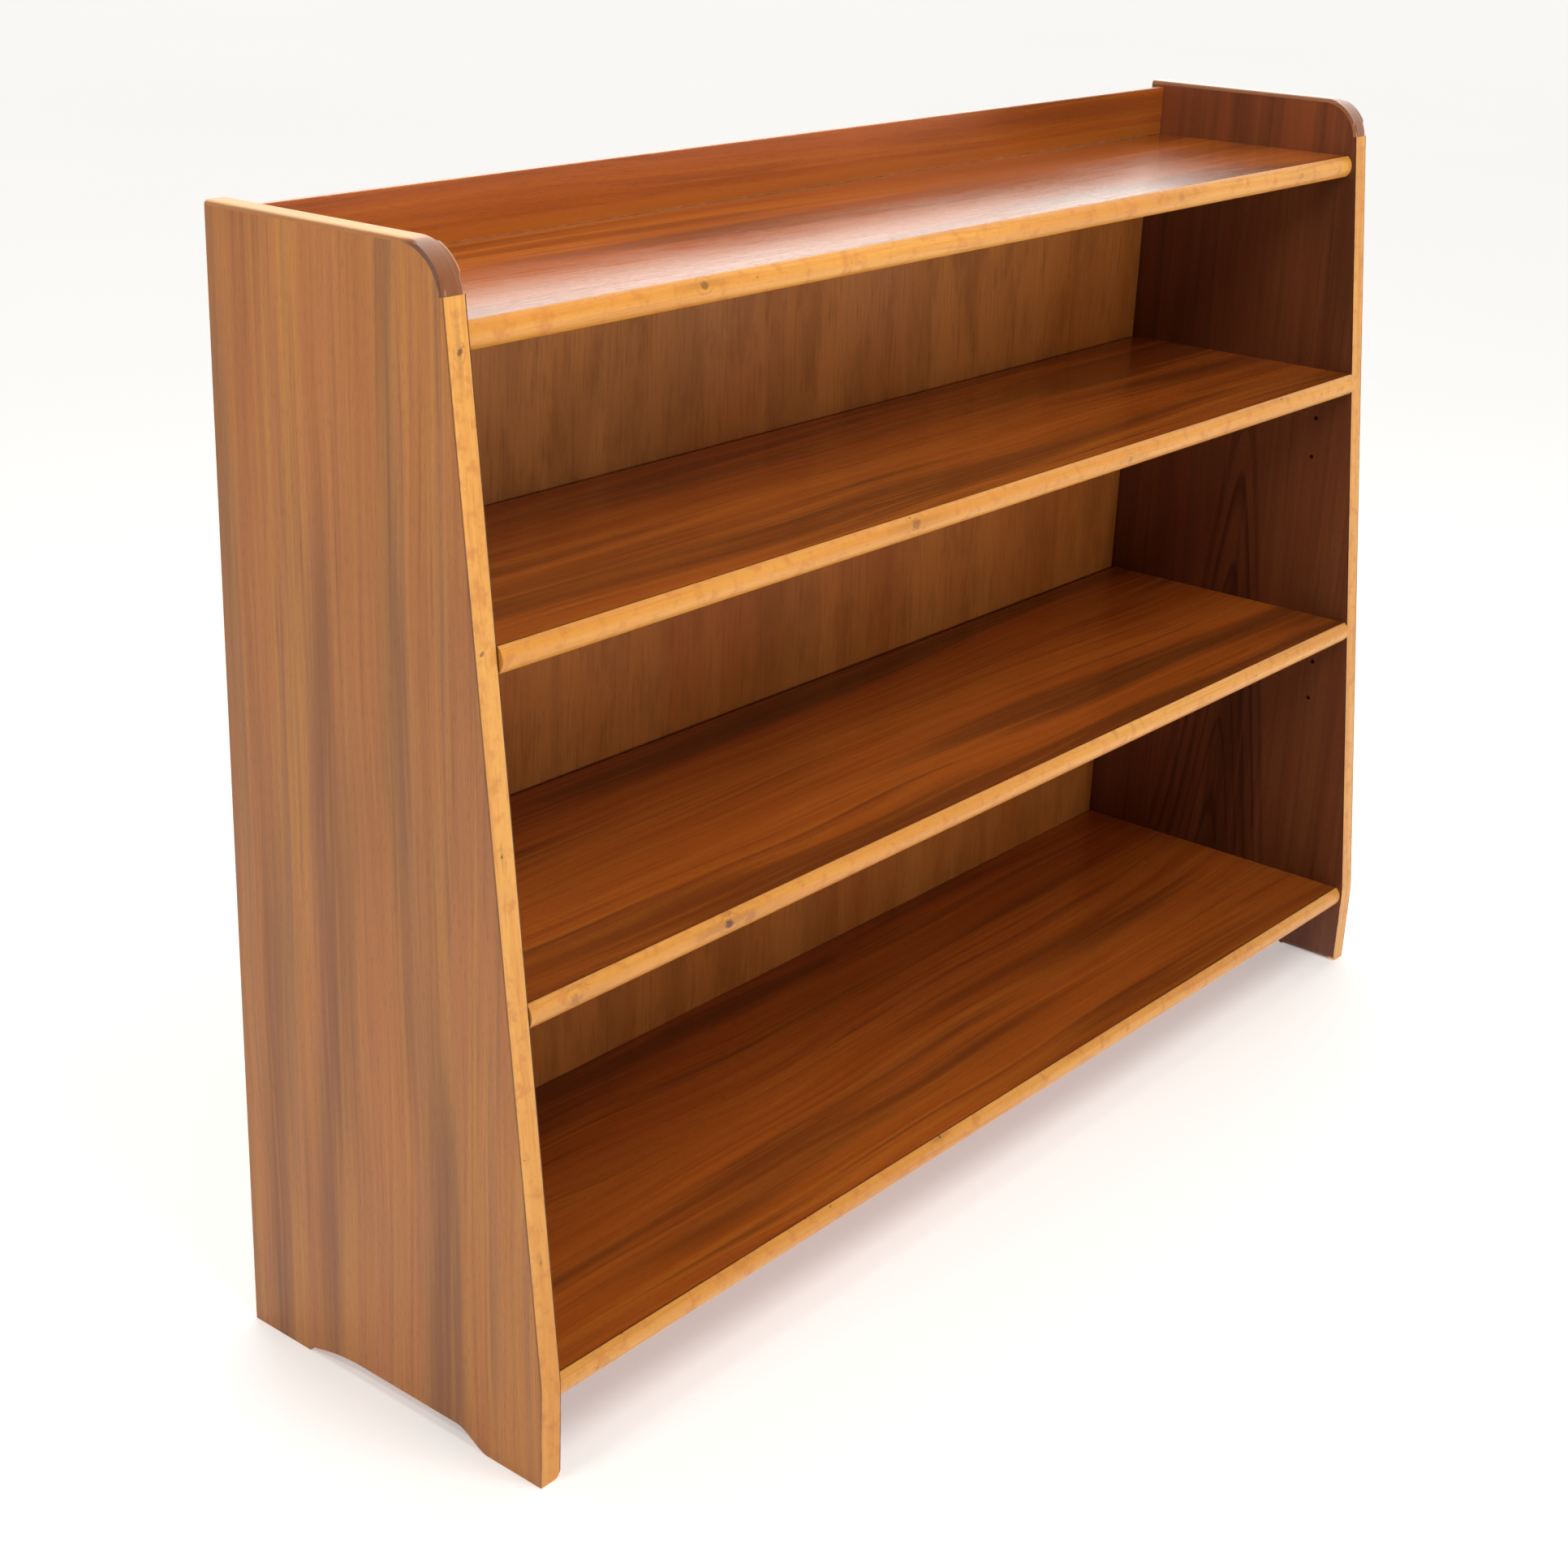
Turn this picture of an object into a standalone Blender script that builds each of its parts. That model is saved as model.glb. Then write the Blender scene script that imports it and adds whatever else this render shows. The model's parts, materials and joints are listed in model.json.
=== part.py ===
"""A low bookcase with sloping sides, a fixed top and bottom shelf and two adjustable shelves.

Each adjustable shelf hangs on two bent wires that hide in grooves in its ends.

Metres, +Z up, the front faces -Y. The origin is the middle of the bookcase's box, on the floor.
"""

import math

import bmesh
import bpy

# Case
caseWidth = 1.392
caseHeight = 1.000
footDepth = 0.360  # rear edge to front edge of a side, at the floor
topDepth = 0.256  # the same at the top, if the front corner were square
slopeStart = 0.092  # height where the upright foot turns into the sloping front edge
slopeStartRadius = 0.12
sideThickness = 0.0225
topCornerRadius = 0.042
edgingThickness = 0.004  # dark band along the top edge and round the corner
sideLippingDepth = 0.008  # light wood strip down the front edge

# Cut-out between the rear and the front foot of a side
rearFootLength = 0.0735
frontFootLength = 0.0615
cutoutHeight = 0.015
frontOgeeLength = 0.038
rearStepHeight = 0.006
rearStepLength = 0.010
rearRiseLength = 0.060

# Shelves: each height is that of the top face, each nose is measured from the sides' front edge
shelfThickness = 0.022
topShelfDrop = 0.058  # below the top of the case
upperShelfHeight = 0.7065
lowerShelfHeight = 0.4215
bottomShelfHeight = 0.0955
topShelfNose = -0.0045
upperShelfNose = 0.0045
lowerShelfNose = 0.0020
bottomShelfNose = -0.0018
lippingFlat = 0.0010
noseDepth = 0.0058  # how far the round nose stands in front of the lipping's flat part
adjustableEndGap = 0.0010
adjustableRearGap = 0.0060

# Shelf wires: a bow with two legs in a front and a rear hole, three pairs of holes for each shelf end
wireDiameter = 0.0045
wireDepth = 0.0080  # length of a leg inside the side
wireStandoff = 0.0037  # inner face of the side to the middle of the bow, and the radius of its bends
wireRise = 0.0105  # middle of the wire above the underside of its shelf
holePitch = 0.045
holeRows = 3
holeFrontInset = 0.0435
holeRearInset = 0.045
holeFloorGap = 0.0006  # beyond the end of a leg
grooveStop = 0.0090  # from the front of a wire to the closed front end of its groove
grooveSpare = 0.0008  # room left in a groove once its wire has been drawn right out of the side

# Board above the top shelf, and the back
upstandThickness = 0.008
upstandInset = 0.0075  # behind it, to the rear edge of the sides
upstandDrop = 0.006  # below the top of the case
backThickness = 0.004
rebateWidth = 0.009
backEdgeDrop = 0.001  # the back stops this far short of the fixed shelves' outer faces

# Dowels and screws
dowelDiameter = 0.008
dowelDepth = 0.013  # length inside a side
dowelReach = 0.021  # length inside a shelf
dowelEndInset = 0.045  # outer dowels, from the rear edge and the front of a shelf
upstandDowelDiameter = 0.004
upstandDowelHalf = 0.010
upstandDowelSpacing = 0.440
screwHeadDiameter = 0.0070
screwHeadDepth = 0.0024
screwDiameter = 0.0034
screwLength = 0.018
screwRowSpread = 0.420
screwSideHeights = (0.300, 0.560)

fitGap = 0.0003  # between faces that touch on the real bookcase
skim = 0.002  # how far a cutter runs past the face that it opens
roundSides = 12
dowelSides = 10

rearY = footDepth / 2
topShelfHeight = caseHeight - topShelfDrop
innerX = caseWidth / 2 - sideThickness
cornerCentreZ = caseHeight - topCornerRadius
slope = (footDepth - topDepth) / (caseHeight - slopeStart)
slopeLength = math.hypot(1, slope)
frontNormal = (-1 / slopeLength, slope / slopeLength)  # of the sloping edge, as (y, z)
cornerCentreY = rearY - topDepth - slope * topCornerRadius + topCornerRadius * slopeLength

brownVeneer = ("brown_veneer", (0.31, 0.115, 0.038), 0.30, 0.0)
birch = ("light_lipping", (0.62, 0.33, 0.115), 0.35, 0.0)
darkEdge = ("dark_edging", (0.25, 0.13, 0.075), 0.22, 0.0)
plywood = ("back_plywood", (0.33, 0.165, 0.055), 0.45, 0.0)
beech = ("dowel_beech", (0.60, 0.42, 0.25), 0.60, 0.0)
steel = ("wire_steel", (0.42, 0.40, 0.37), 0.35, 1.0)
brass = ("screw_brass", (0.62, 0.45, 0.20), 0.40, 1.0)

for old in list(bpy.data.objects):
    bpy.data.objects.remove(old)

scene = bpy.context.scene
bookcase = bpy.data.collections.new("bookcase")
cutterRoom = bpy.data.collections.new("cutters")
cutterRoom.hide_render = True
scene.collection.children.link(bookcase)
scene.collection.children.link(cutterRoom)
materials = {}


def materialFor(finish):
    name, colour, roughness, metallic = finish
    if name not in materials:
        material = bpy.data.materials.new(name)
        material.use_nodes = True
        shader = material.node_tree.nodes["Principled BSDF"]
        shader.inputs["Base Color"].default_value = (*colour, 1)
        shader.inputs["Roughness"].default_value = roughness
        shader.inputs["Metallic"].default_value = metallic
        materials[name] = material
    return materials[name]


def keep(obj, name, finish=None, room=bookcase):
    """Names the object, moves it to its collection and gives it its finish."""
    for collection in list(obj.users_collection):
        collection.objects.unlink(obj)
    room.objects.link(obj)
    obj.name = name
    obj.data.name = name
    if finish:
        obj.data.materials.clear()
        obj.data.materials.append(materialFor(finish))
    return obj


def box(name, low, high, finish=None, room=bookcase):
    """A block between two corners."""
    centre = [(a + b) / 2 for a, b in zip(low, high)]
    bpy.ops.mesh.primitive_cube_add(size=1, location=centre)
    block = bpy.context.object
    block.scale = [b - a for a, b in zip(low, high)]
    bpy.ops.object.transform_apply(location=False, rotation=False, scale=True)
    return keep(block, name, finish, room)


turns = {"x": (0, math.pi / 2, 0), "y": (math.pi / 2, 0, 0), "z": (0, 0, 0)}


def rod(name, axis, start, length, diameter, sides, finish=None, room=bookcase):
    """A round bar that runs from start along the positive axis."""
    centre = list(start)
    centre["xyz".index(axis)] += length / 2
    bpy.ops.mesh.primitive_cylinder_add(
        vertices=sides, radius=diameter / 2, depth=length, location=centre, rotation=turns[axis]
    )
    bar = keep(bpy.context.object, name, finish, room)
    bar.data.shade_smooth()
    bar.data.set_sharp_from_angle(angle=math.radians(40))
    return bar


def plate(name, outline, x, thickness, finish):
    """A board with an outline of (y, z) points, centred at x, as a mesh."""
    flat = bpy.data.curves.new(name, "CURVE")
    flat.dimensions = "2D"
    flat.fill_mode = "BOTH"
    flat.extrude = thickness / 2
    spline = flat.splines.new("POLY")
    spline.points.add(len(outline) - 1)
    for point, (y, z) in zip(spline.points, outline):
        point.co = (y, z, 0, 1)
    spline.use_cyclic_u = True
    drawn = bpy.data.objects.new(name, flat)
    drawn.location = (x, 0, 0)
    drawn.rotation_euler = (math.pi / 2, 0, math.pi / 2)
    scene.collection.objects.link(drawn)
    bpy.context.view_layer.update()
    graph = bpy.context.evaluated_depsgraph_get()
    mesh = bpy.data.meshes.new_from_object(drawn.evaluated_get(graph))
    shape = bmesh.new()
    shape.from_mesh(mesh)
    bmesh.ops.remove_doubles(shape, verts=shape.verts, dist=0.00001)
    bmesh.ops.recalc_face_normals(shape, faces=shape.faces)
    shape.to_mesh(mesh)
    shape.free()
    solid = bpy.data.objects.new(name, mesh)
    solid.matrix_world = drawn.matrix_world
    scene.collection.objects.link(solid)
    bpy.data.objects.remove(drawn)
    return keep(solid, name, finish)


def cut(board, cutters):
    """Takes the cutters away from the board with one Boolean."""
    room = bpy.data.collections.new(board.name + "_cutters")
    room.hide_render = True
    cutterRoom.children.link(room)
    for cutter in cutters:
        keep(cutter, cutter.name, room=room)
        cutter.hide_render = True
        cutter.display_type = "WIRE"
    boolean = board.modifiers.new("cuts", "BOOLEAN")
    boolean.operation = "DIFFERENCE"
    boolean.solver = "EXACT"
    boolean.operand_type = "COLLECTION"
    boolean.collection = room


def frontY(z):
    """The front edge of a side at height z: upright foot, a short arc, then the slope."""
    tilt = math.atan(slope)
    tangent = slopeStartRadius * math.tan(tilt / 2)
    rise = z - (slopeStart - tangent)
    if rise <= 0:
        return -rearY
    if z < slopeStart + tangent * math.cos(tilt):
        return -rearY + slopeStartRadius - math.sqrt(slopeStartRadius**2 - rise**2)
    return -rearY + slope * (z - slopeStart)


def frontHeights():
    """Heights of the points down the front edge, from the round corner to the floor."""
    top = cornerCentreZ + topCornerRadius * frontNormal[1]
    tilt = math.atan(slope)
    tangent = slopeStartRadius * math.tan(tilt / 2)
    arc = [slopeStart - tangent + slopeStartRadius * math.sin(tilt * step / 3) for step in (3, 2, 1, 0)]
    return [top, *arc, 0.0]


def cornerArc(radius, steps=9):
    """Points of the round top corner from the sloping front edge to the level top."""
    start = math.atan2(frontNormal[1], frontNormal[0])
    points = []
    for step in range(steps + 1):
        angle = start + (math.pi / 2 - start) * step / steps
        points.append((cornerCentreY + radius * math.cos(angle), cornerCentreZ + radius * math.sin(angle)))
    return points


def ease(share):
    """Rises from 0 to 1 as an ogee."""
    return share * share * (3 - 2 * share)


def footCutout():
    """The underside of a side from the front foot to the rear foot, as (y, z) points."""
    frontStart = -rearY + frontFootLength
    rearStart = rearY - rearFootLength
    points = [(frontStart + frontOgeeLength * s / 6, cutoutHeight * ease(s / 6)) for s in range(7)]
    stepTop = rearStart - rearStepLength
    riseHeight = cutoutHeight - rearStepHeight
    for s in range(5):
        share = s / 4
        points.append((stepTop - rearRiseLength * (1 - share), rearStepHeight + riseHeight * (1 - share**2)))
    for s in (1, 2, 3):
        angle = s / 3 * math.pi / 2
        points.append((stepTop + rearStepLength * math.sin(angle), rearStepHeight * math.cos(angle)))
    return points


def sideOutline():
    """The veneered board of a side, inside the edging and the lipping."""
    band = topCornerRadius - edgingThickness - fitGap
    inner = topCornerRadius - sideLippingDepth - fitGap
    points = [(rearY, 0.0), (rearY, caseHeight - edgingThickness - fitGap)]
    points += cornerArc(band)[::-1]
    shift = sideLippingDepth + fitGap
    joint = (cornerCentreY + inner * frontNormal[0], cornerCentreZ + inner * frontNormal[1])
    points.append(joint)
    points += [(frontY(z) + shift, z) for z in frontHeights()[1:]]
    points += footCutout()
    return points


def edgingOutline():
    outer = cornerArc(topCornerRadius)
    inner = cornerArc(topCornerRadius - edgingThickness)
    rear = [(rearY, caseHeight), (rearY, caseHeight - edgingThickness)]
    return outer + rear + inner[::-1]


def sideLippingOutline():
    """The light strip down the front edge. Its top end meets the edging square to the slope."""
    reach = topCornerRadius - sideLippingDepth
    drop = fitGap * slopeLength
    outerTop = (cornerCentreY + topCornerRadius * frontNormal[0], frontHeights()[0] - drop)
    innerTop = (cornerCentreY + reach * frontNormal[0], cornerCentreZ + reach * frontNormal[1] - drop)
    below = frontHeights()[1:]
    outer = [(frontY(z), z) for z in below]
    inner = [(frontY(z) + sideLippingDepth, z) for z in reversed(below)]
    return [outerTop, *outer, *inner, innerTop]


def shelfFront(height, nose):
    """Where a shelf's lipping starts, from how far its nose stands out of the sides' front edge."""
    middle = height - shelfThickness / 2
    return frontY(middle) - nose + noseDepth + lippingFlat


def lippingOutline(height, front):
    """Flat behind, round in front, with the shelf's thickness."""
    low = height - shelfThickness
    half = shelfThickness / 2
    radius = (half**2 + noseDepth**2) / (2 * noseDepth)
    centreY = front - lippingFlat - noseDepth + radius
    reach = math.asin(half / radius)
    points = [(front - fitGap, low), (front - fitGap, height)]
    for step in range(9):
        angle = reach * (1 - 2 * step / 8)
        points.append((centreY - radius * math.cos(angle), low + half + radius * math.sin(angle)))
    return points


def holePlaces(shelfHeight):
    """y of the front and of the rear column of holes of one shelf, and the heights of its holes."""
    top = shelfHeight - shelfThickness + wireRise
    heights = [top - holePitch * step for step in range(holeRows)]
    front = frontY(heights[holeRows // 2]) + holeFrontInset
    return front, rearY - holeRearInset, heights


def dowelYs(front):
    """Three dowels across the depth of a fixed shelf."""
    rear = rearY - dowelEndInset
    ahead = front + dowelEndInset
    return [ahead, (ahead + rear) / 2, rear]


fixedShelves = {"top": (topShelfHeight, topShelfNose), "bottom": (bottomShelfHeight, bottomShelfNose)}
adjustableShelves = {"upper": (upperShelfHeight, upperShelfNose), "lower": (lowerShelfHeight, lowerShelfNose)}
backLow = bottomShelfHeight - shelfThickness + backEdgeDrop
backHigh = topShelfHeight - backEdgeDrop
backFront = rearY - backThickness
shelfRear = backFront - fitGap
upstandRear = rearY - upstandInset
upstandMiddleY = upstandRear - upstandThickness / 2
upstandLow = topShelfHeight + fitGap
upstandHigh = caseHeight - upstandDrop
upstandMiddleZ = (upstandLow + upstandHigh) / 2
wireRoom = wireDiameter + 2 * fitGap
screwX = innerX + rebateWidth / 2


def screwPlaces():
    """(x, z) of each screw that holds the back."""
    places = []
    for height in (topShelfHeight, bottomShelfHeight):
        middle = height - shelfThickness / 2
        places += [(offset * screwRowSpread, middle) for offset in (-1, 0, 1)]
    for side in (-1, 1):
        places += [(side * screwX, z) for z in screwSideHeights]
    return places


def alongX(side, outward, inward):
    """Start and length of a bar that crosses the inner face of a side."""
    low = innerX - inward if side > 0 else -innerX - outward
    return low, inward + outward


def buildSide(side, word):
    """One side with its rebate, pin holes and dowel holes, and its edging and lipping."""
    x = side * (caseWidth / 2 - sideThickness / 2)
    board = plate("side_panel_" + word, sideOutline(), x, sideThickness, brownVeneer)
    plate("side_edging_" + word, edgingOutline(), x, sideThickness, darkEdge)
    plate("side_lipping_" + word, sideLippingOutline(), x, sideThickness, birch)
    edge = side * (innerX + rebateWidth)
    inside = side * (innerX - skim)
    rebate = box(
        "rebate_" + word,
        (min(edge, inside), shelfRear, backLow - fitGap),
        (max(edge, inside), rearY + skim, backHigh + fitGap),
    )
    cut(board, [rebate])
    cutters = []
    start, length = alongX(side, wireDepth + holeFloorGap, skim)
    for height, nose in adjustableShelves.values():
        front, rear, heights = holePlaces(height)
        for y in (front, rear):
            for z in heights:
                cutters.append(rod("wire_hole", "x", (start, y, z), length, wireRoom, roundSides))
    start, length = alongX(side, dowelDepth + fitGap, skim)
    for height, nose in fixedShelves.values():
        for y in dowelYs(shelfFront(height, nose)):
            z = height - shelfThickness / 2
            wide = dowelDiameter + 2 * fitGap
            cutters.append(rod("dowel_hole", "x", (start, y, z), length, wide, dowelSides))
    start, length = alongX(side, upstandDowelHalf + fitGap, skim)
    wide = upstandDowelDiameter + 2 * fitGap
    at = (start, upstandMiddleY, upstandMiddleZ)
    cutters.append(rod("upstand_hole", "x", at, length, wide, dowelSides))
    cutters += [screwHole(px, pz) for px, pz in screwPlaces() if px * side > innerX]
    cut(board, cutters)


def screwHole(x, z):
    """A hole for a screw's shank, from its point to past the rear of the back."""
    length = screwLength + fitGap + skim
    start = (x, rearY - screwLength - fitGap, z)
    return rod("screw_hole", "y", start, length, screwDiameter + 2 * fitGap, dowelSides)


def buildFixedShelf(word, height, nose):
    """A shelf dowelled between the sides, with its lipping and its dowels."""
    front = shelfFront(height, nose)
    end = innerX - fitGap
    low = height - shelfThickness
    middle = height - shelfThickness / 2
    board = box(word + "_shelf", (-end, front, low), (end, shelfRear, height), brownVeneer)
    plate(word + "_shelf_lipping", lippingOutline(height, front), 0, 2 * end, birch)
    cutters = []
    for side, hand in ((-1, "left"), (1, "right")):
        start, length = alongX(side, skim, dowelReach + fitGap)
        wide = dowelDiameter + 2 * fitGap
        for number, y in enumerate(dowelYs(front), 1):
            cutters.append(rod("dowel_hole", "x", (start, y, middle), length, wide, dowelSides))
            from_, span = alongX(side, dowelDepth, dowelReach)
            name = f"{word}_shelf_dowel_{hand}_{number}"
            rod(name, "x", (from_, y, middle), span, dowelDiameter, dowelSides, beech)
    cutters += [screwHole(px, pz) for px, pz in screwPlaces() if pz == middle]
    if word == "top":
        cutters += [upstandFootHole(side * upstandDowelSpacing / 2) for side in (-1, 1)]
    cut(board, cutters)


def wireBow(name, side, front, rear, z):
    """A wire bow beside one side, with its origin at the mouth of its front hole."""
    face = side * innerX
    radius = wireStandoff
    turns = [math.pi * step / 8 for step in range(5)]
    frontBend = [(radius * math.sin(turn), radius - radius * math.cos(turn)) for turn in turns]
    near = [(-wireDepth, 0.0), *frontBend]
    far = [(out, rear - front - along) for out, along in reversed(near)]
    route = bpy.data.curves.new(name, "CURVE")
    route.dimensions = "3D"
    route.bevel_depth = wireDiameter / 2
    route.bevel_resolution = 2
    route.use_fill_caps = True
    spline = route.splines.new("POLY")
    spline.points.add(len(near + far) - 1)
    for point, (out, along) in zip(spline.points, near + far):
        point.co = (-side * out, along, 0, 1)
    wire = bpy.data.objects.new(name, route)
    wire.location = (face, front, z)
    scene.collection.objects.link(wire)
    return keep(wire, name, steel)


def buildAdjustableShelf(word, height, nose):
    """A shelf with a groove in each end, closed at the front and open at the rear, and its two wires."""
    lipFront = shelfFront(height, nose)
    end = innerX - adjustableEndGap
    shelfBack = backFront - adjustableRearGap
    low = height - shelfThickness
    board = box(word + "_shelf", (-end, lipFront, low), (end, shelfBack, height), brownVeneer)
    plate(word + "_shelf_lipping", lippingOutline(height, lipFront), 0, 2 * end, birch)
    front, rear, heights = holePlaces(height)
    z = heights[0]
    grooveFront = front - wireDiameter / 2 - grooveStop
    grooveFloor = innerX - wireStandoff - wireDiameter / 2 - wireDepth - grooveSpare
    cutters = []
    for side, hand in ((-1, "left"), (1, "right")):
        near = min(side * grooveFloor, side * (end + skim))
        far = max(side * grooveFloor, side * (end + skim))
        low = (near, grooveFront, z - wireRoom / 2)
        high = (far, shelfBack + skim, z + wireRoom / 2)
        cutters.append(box("groove_" + hand, low, high))
        wireBow(f"{word}_shelf_wire_{hand}", side, front, rear, z)
    cut(board, cutters)


def upstandFootHole(x):
    """A hole for one of the dowels between the upstand and the top shelf."""
    length = 2 * (upstandDowelHalf + fitGap)
    start = (x, upstandMiddleY, topShelfHeight - length / 2)
    wide = upstandDowelDiameter + 2 * fitGap
    return rod("upstand_foot_hole", "z", start, length, wide, dowelSides)


def buildUpstand():
    """The low board along the rear of the top shelf, with its dowels."""
    end = innerX - fitGap
    front = upstandRear - upstandThickness
    board = box("upstand", (-end, front, upstandLow), (end, upstandRear, upstandHigh), brownVeneer)
    cutters = []
    for side, hand in ((-1, "left"), (1, "right")):
        x = side * upstandDowelSpacing / 2
        cutters.append(upstandFootHole(x))
        start = (x, upstandMiddleY, topShelfHeight - upstandDowelHalf)
        name = "upstand_foot_dowel_" + hand
        rod(name, "z", start, 2 * upstandDowelHalf, upstandDowelDiameter, dowelSides, beech)
        start, length = alongX(side, upstandDowelHalf, upstandDowelHalf)
        at = (start, upstandMiddleY, upstandMiddleZ)
        rod("upstand_end_dowel_" + hand, "x", at, length, upstandDowelDiameter, dowelSides, beech)
        start, length = alongX(side, skim, upstandDowelHalf + fitGap)
        at = (start, upstandMiddleY, upstandMiddleZ)
        wide = upstandDowelDiameter + 2 * fitGap
        cutters.append(rod("upstand_end_hole", "x", at, length, wide, dowelSides))
    cut(board, cutters)


def turned(name, profile, place, finish=None, room=bookcase):
    """A round piece about the Y axis, from (radius, distance in front of the rear) points."""
    mesh = bpy.data.meshes.new(name)
    points = [(radius, 0, -depth) for radius, depth in profile]
    mesh.from_pydata(points, [(i, i + 1) for i in range(len(points) - 1)], [])
    piece = bpy.data.objects.new(name, mesh)
    piece.location = place
    piece.rotation_euler = (-math.pi / 2, 0, 0)
    scene.collection.objects.link(piece)
    spin = piece.modifiers.new("turn", "SCREW")
    spin.steps = dowelSides
    spin.render_steps = dowelSides
    spin.use_merge_vertices = True
    spin.merge_threshold = 0.00005
    return keep(piece, name, finish, room)


def buildBack():
    """The plywood back in the sides' rebates, and its countersunk screws."""
    end = innerX + rebateWidth - fitGap
    board = box("back_panel", (-end, backFront, backLow), (end, rearY, backHigh), plywood)
    headRadius = screwHeadDiameter / 2
    shankRadius = screwDiameter / 2
    point = screwLength * 0.8
    screwProfile = [(0, 0), (headRadius, 0), (shankRadius, screwHeadDepth)]
    screwProfile += [(shankRadius, point), (0, screwLength)]
    wider = fitGap * headRadius / (headRadius - shankRadius)
    sinkProfile = [(0, -skim), (headRadius + wider, -skim), (headRadius + wider, 0)]
    wider = shankRadius + fitGap
    sinkProfile += [(wider, screwHeadDepth + fitGap), (wider, backThickness + skim), (0, backThickness + skim)]
    cutters = []
    for number, (x, z) in enumerate(screwPlaces(), 1):
        turned(f"back_screw_{number}", screwProfile, (x, rearY, z), brass)
        cutters.append(turned(f"countersink_{number}", sinkProfile, (x, rearY, z)))
    cut(board, cutters)


for side, word in ((-1, "left"), (1, "right")):
    buildSide(side, word)
for word, (height, nose) in fixedShelves.items():
    buildFixedShelf(word, height, nose)
for word, (height, nose) in adjustableShelves.items():
    buildAdjustableShelf(word, height, nose)
buildUpstand()
buildBack()
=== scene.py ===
import json
import math

import bmesh
import bpy
from mathutils import Matrix, Vector

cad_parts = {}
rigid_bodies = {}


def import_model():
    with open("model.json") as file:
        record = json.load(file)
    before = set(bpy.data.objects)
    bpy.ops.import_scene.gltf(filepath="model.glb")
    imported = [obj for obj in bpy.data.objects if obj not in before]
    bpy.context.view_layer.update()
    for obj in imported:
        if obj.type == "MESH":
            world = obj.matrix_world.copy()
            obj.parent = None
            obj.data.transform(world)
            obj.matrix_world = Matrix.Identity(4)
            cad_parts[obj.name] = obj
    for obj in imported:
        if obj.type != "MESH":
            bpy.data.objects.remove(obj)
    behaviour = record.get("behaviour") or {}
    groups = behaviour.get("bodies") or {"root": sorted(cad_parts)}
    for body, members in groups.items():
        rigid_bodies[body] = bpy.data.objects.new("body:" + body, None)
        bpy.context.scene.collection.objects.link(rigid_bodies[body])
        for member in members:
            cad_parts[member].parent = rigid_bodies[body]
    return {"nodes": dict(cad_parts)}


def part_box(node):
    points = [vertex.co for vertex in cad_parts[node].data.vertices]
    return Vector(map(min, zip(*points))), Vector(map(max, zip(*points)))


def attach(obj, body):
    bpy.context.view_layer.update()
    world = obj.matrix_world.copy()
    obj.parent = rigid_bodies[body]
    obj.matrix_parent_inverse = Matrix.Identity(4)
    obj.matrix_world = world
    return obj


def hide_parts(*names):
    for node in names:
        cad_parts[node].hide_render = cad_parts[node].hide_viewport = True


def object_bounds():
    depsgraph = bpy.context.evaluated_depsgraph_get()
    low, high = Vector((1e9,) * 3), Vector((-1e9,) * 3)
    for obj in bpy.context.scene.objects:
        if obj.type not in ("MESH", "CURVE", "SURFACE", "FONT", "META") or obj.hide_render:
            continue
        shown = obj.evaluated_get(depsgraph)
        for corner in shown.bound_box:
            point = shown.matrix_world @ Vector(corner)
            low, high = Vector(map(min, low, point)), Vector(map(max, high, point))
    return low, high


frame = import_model()
cadBox = [list(corner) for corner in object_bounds()]
caseLow, caseHigh = Vector(cadBox[0]), Vector(cadBox[1])
overrun = 0.002  # how far a cutter runs past the face that it opens
wellPast = 0.01  # how far it runs past where it only has to clear the piece


# small helpers for modelling

def pick(*objs):
    bpy.ops.object.select_all(action="DESELECT")
    for obj in objs:
        obj.select_set(True)
    bpy.context.view_layer.objects.active = objs[0]


def editOn(obj, action="DESELECT"):
    pick(obj)
    bpy.ops.object.mode_set(mode="EDIT")
    bpy.ops.mesh.select_all(action=action)


def editOff():
    bpy.ops.object.mode_set(mode="OBJECT")


def chooseEdges(obj, test, level=None):
    # selects each edge whose ends both pass the test and, if asked, share their place on an axis
    bpy.ops.mesh.select_mode(type="EDGE")
    bpy.ops.mesh.select_all(action="DESELECT")
    mesh = bmesh.from_edit_mesh(obj.data)
    for edge in mesh.edges:
        start, end = (corner.co for corner in edge.verts)
        isLevel = level is None or near(start[level], end[level])
        if isLevel and test(start) and test(end):
            edge.select_set(True)
    bmesh.update_edit_mesh(obj.data)


def chooseFaces(obj, test):
    # selects each face whose middle and direction pass the test
    bpy.ops.mesh.select_mode(type="FACE")
    bpy.ops.mesh.select_all(action="DESELECT")
    mesh = bmesh.from_edit_mesh(obj.data)
    for face in mesh.faces:
        if test(face.calc_center_median(), face.normal):
            face.select_set(True)
    bmesh.update_edit_mesh(obj.data)


def near(a, b, reach=0.00005):
    return abs(a - b) < reach


def settle(obj):
    # puts the object's place, turn and size into its mesh
    pick(obj)
    bpy.ops.object.transform_apply(location=True, rotation=True, scale=True)
    return obj


def rename(obj, name):
    obj.name = obj.data.name = name
    return obj


def addBlock(name, low, high):
    bpy.ops.object.select_all(action="DESELECT")
    centre = [(a + b) / 2 for a, b in zip(low, high)]
    bpy.ops.mesh.primitive_cube_add(size=1, location=centre)
    block = rename(bpy.context.object, name)
    block.scale = [b - a for a, b in zip(low, high)]
    return settle(block)


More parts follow.
